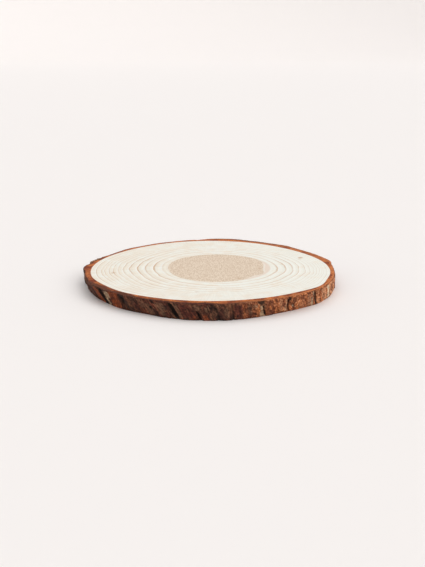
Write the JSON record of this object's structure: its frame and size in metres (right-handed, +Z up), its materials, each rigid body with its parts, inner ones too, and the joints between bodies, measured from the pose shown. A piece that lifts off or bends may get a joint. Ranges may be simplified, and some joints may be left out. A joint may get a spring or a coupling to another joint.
{
  "type": "wood slice",
  "caption": "Thin round slice sawn across a young pine trunk, with growth rings on both flat faces and the rough bark left on its edge.",
  "frame": {"origin": "middle of the slice's outline, on its underside", "axes": "+Z up through the thickness, along the trunk; +X along the slice's longer width; -Y towards the viewer of the picture"},
  "size_m": [0.1564, 0.1526, 0.01],
  "materials": {
    "sawn_wood": "matte",
    "bark": "matte"
  },
  "bodies": {
    "root": {"wood_slice": "sawn_wood"}
  },
  "joints": []
}
